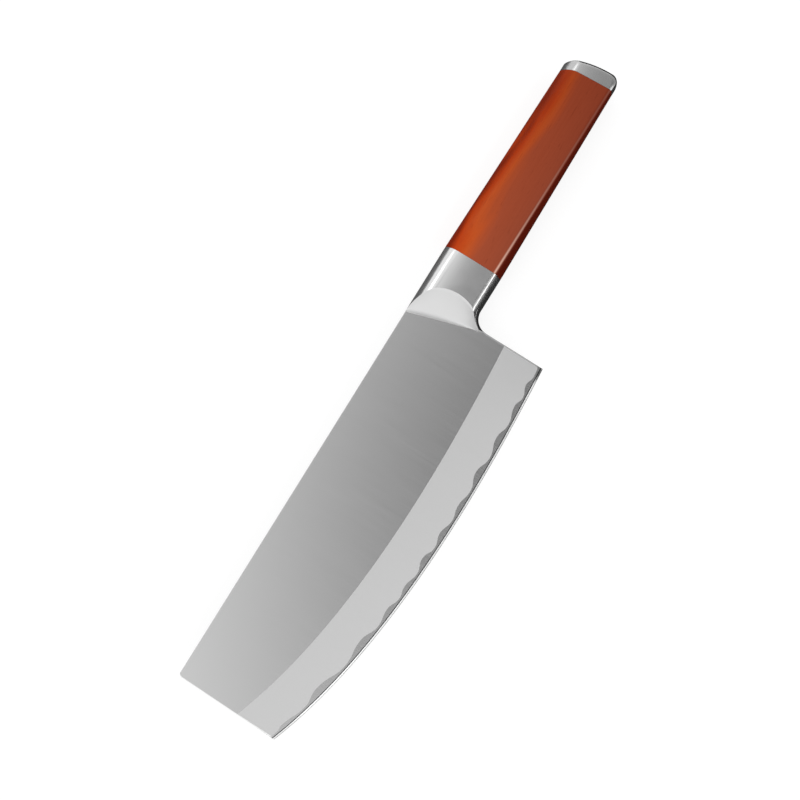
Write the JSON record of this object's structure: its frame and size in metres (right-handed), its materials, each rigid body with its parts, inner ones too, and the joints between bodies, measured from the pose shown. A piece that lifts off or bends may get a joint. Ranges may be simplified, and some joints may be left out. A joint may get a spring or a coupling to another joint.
{
  "type": "slicing cleaver",
  "caption": "Kitchen slicing cleaver: wide laminated blade with a curved edge and square tip, scooped steel bolster, tapered red hardwood grip and steel end cap.",
  "frame": {"origin": "middle of the footprint, at the lowest point of the knife lying on its side", "axes": "+X from the tip to the butt, +Y from the cutting edge to the spine, +Z square to the blade"},
  "size_m": [0.3036, 0.0638, 0.0182],
  "materials": {
    "core_steel": "hard carbon steel, darker than the cladding, with a bright sharpened bevel",
    "cladding_steel": "fine satin stainless steel",
    "cast_steel": "polished cast stainless steel",
    "redwood": "red hardwood, sanded fine and lacquered",
    "plain_steel": "plain turned steel",
    "resin": "cured amber resin"
  },
  "bodies": {
    "root": {"blade_core": "core_steel", "upper_cladding": "cladding_steel", "lower_cladding": "cladding_steel", "bolster": "cast_steel", "grip": "redwood", "end_cap": "cast_steel", "tang": "plain_steel", "tang_bedding": "resin", "tang_washer": "plain_steel", "tang_nut": "plain_steel"}
  },
  "joints": []
}
